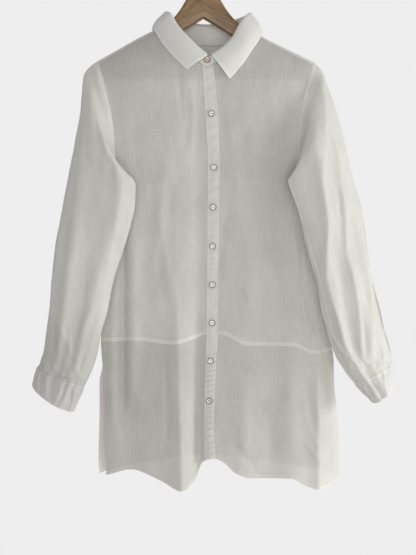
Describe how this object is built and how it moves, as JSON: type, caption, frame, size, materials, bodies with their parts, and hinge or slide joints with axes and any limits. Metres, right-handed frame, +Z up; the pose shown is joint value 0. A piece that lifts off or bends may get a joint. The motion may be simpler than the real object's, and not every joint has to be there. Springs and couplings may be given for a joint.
{
  "type": "tunic top on a coat hanger",
  "caption": "Long-sleeved linen tunic shirt with a collar, button front, hip seam and side vents, hanging on a wooden coat hanger with a wire hook",
  "frame": {"origin": "the point inside the top of the hook that rests on a rail", "axes": "+X the wearer's left, -Y the front, +Z up"},
  "size_m": [0.661, 0.111, 0.9919],
  "materials": {
    "linen": "washed, soft plain weave",
    "shell": "polished shell",
    "wood": "satin lacquer",
    "steel": "bright wire"
  },
  "bodies": {
    "root": {"front_right_upper": "linen", "front_left_upper": "linen", "front_right_lower": "linen", "front_left_lower": "linen", "back_upper": "linen", "back_lower": "linen", "yoke": "linen", "sleeve_right": "linen", "sleeve_left": "linen", "cuff_right": "linen", "cuff_left": "linen", "collar_stand": "linen", "collar_leaf": "linen", "band_over": "linen", "band_under": "linen", "button_1": "shell", "button_2": "shell", "button_3": "shell", "button_4": "shell", "button_5": "shell", "button_6": "shell", "button_7": "shell", "button_8": "shell", "button_9": "shell", "cuff_button_right": "shell", "cuff_button_left": "shell", "hanger_bar": "wood", "hanger_hook": "steel"}
  },
  "joints": []
}
